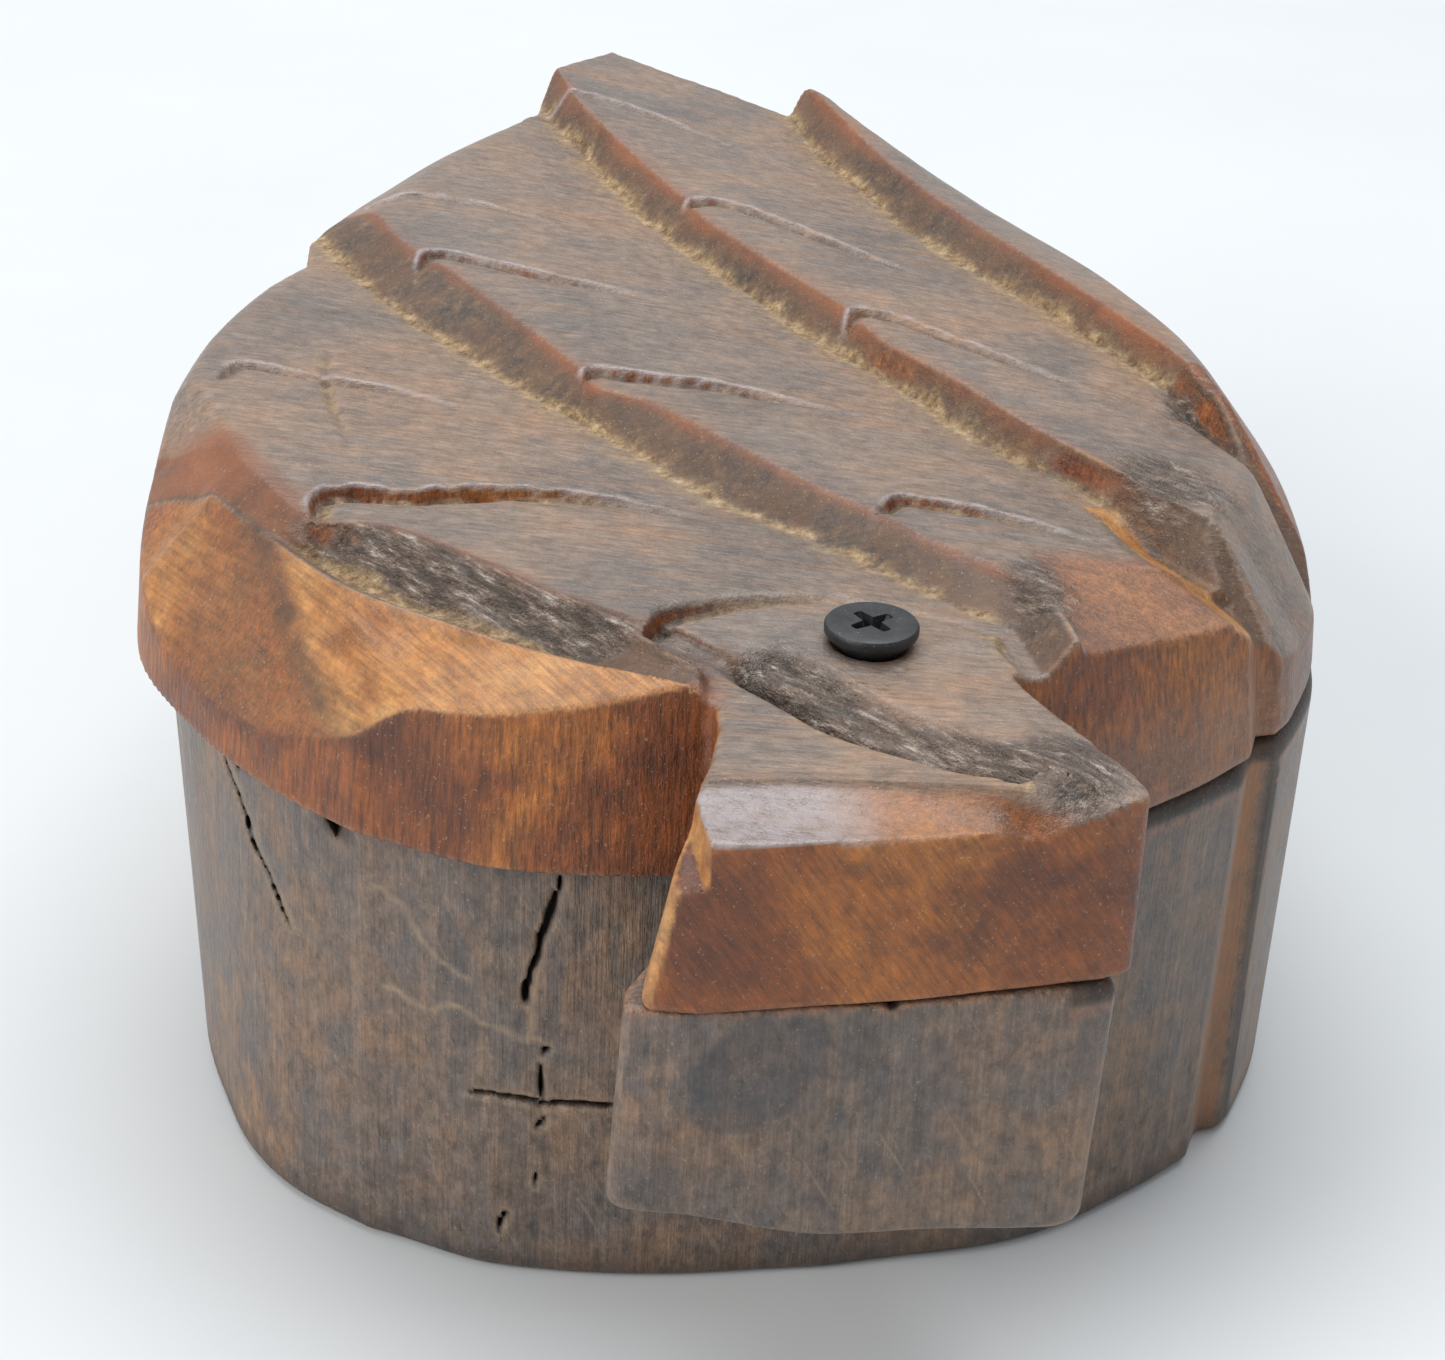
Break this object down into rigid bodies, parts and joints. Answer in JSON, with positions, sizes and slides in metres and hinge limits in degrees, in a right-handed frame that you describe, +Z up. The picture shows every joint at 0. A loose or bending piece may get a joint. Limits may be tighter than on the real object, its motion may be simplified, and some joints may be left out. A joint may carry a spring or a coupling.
{
  "type": "wooden puzzle box",
  "caption": "Hand-carved hardwood box in the shape of a bird, with a leaf-shaped body, feathered lid and head block; the lid swings level on a wood screw through the neck.",
  "frame": {"origin": "on the floor, under the middle of the box's width, 97.8 mm behind the front of the head block", "axes": "+Y from the head to the tail, +Z up, +X to the right seen from the head"},
  "size_m": [0.1144, 0.1954, 0.064],
  "materials": {
    "base_wood": "worn satin, dark",
    "lid_wood": "worn satin, oiled",
    "black_steel": "black oxide, satin"
  },
  "bodies": {
    "base": {"base_block": "base_wood", "pivot_screw": "black_steel"},
    "lid": {"lid": "lid_wood"}
  },
  "joints": [
    {"name": "lid_swivel", "type": "hinge", "parent": "base", "child": "lid", "pos_m": [0.0024, -0.0683, 0.044], "axis": [0, 0, 1], "continuous": true}
  ]
}
